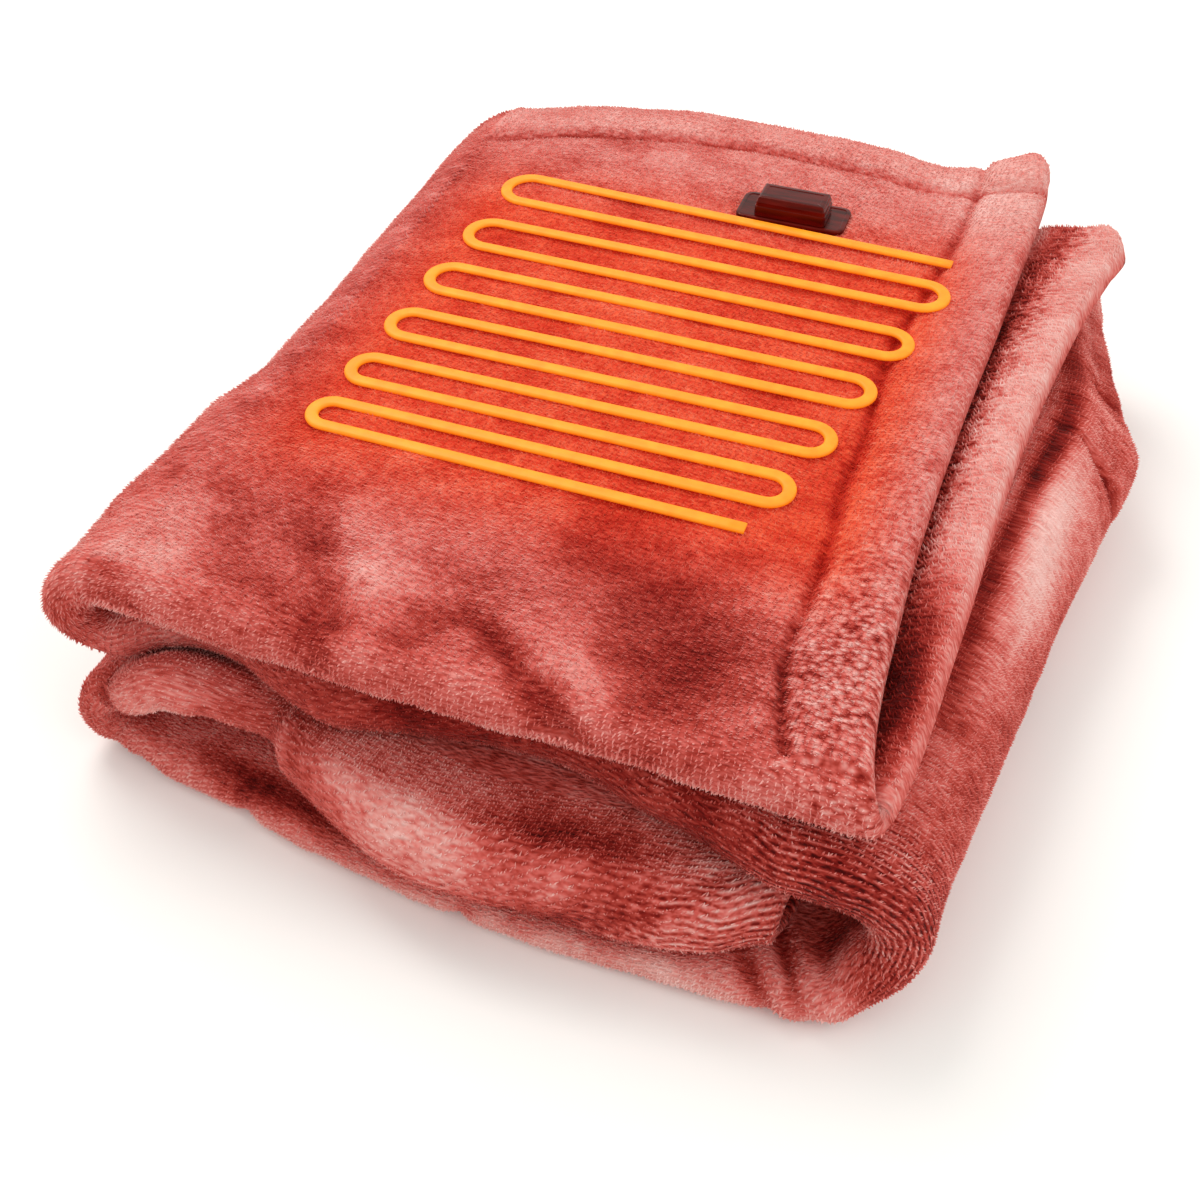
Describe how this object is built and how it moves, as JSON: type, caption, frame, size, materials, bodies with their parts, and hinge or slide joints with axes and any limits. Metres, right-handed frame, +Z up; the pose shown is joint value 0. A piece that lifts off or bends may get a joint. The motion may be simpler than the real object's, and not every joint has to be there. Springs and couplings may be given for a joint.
{
  "type": "electric heated blanket, folded",
  "caption": "Electric heated blanket in rose plush flannel, folded into a soft stack, with hemmed edges and a moulded power inlet on top.",
  "frame": {"origin": "under the middle of the folded blanket's box, on the surface it rests on", "axes": "+X to the right along the front edge, -Y to the front, +Z up through the stack"},
  "size_m": [0.4233, 0.4968, 0.1255],
  "materials": {
    "flannel": "brushed plush pile",
    "wire_sleeve": "satin",
    "inlet_plastic": "gloss"
  },
  "bodies": {
    "root": {"blanket_cloth": "flannel", "heating_wire": "wire_sleeve", "inlet_flange": "inlet_plastic", "inlet_housing": "inlet_plastic"}
  },
  "joints": []
}
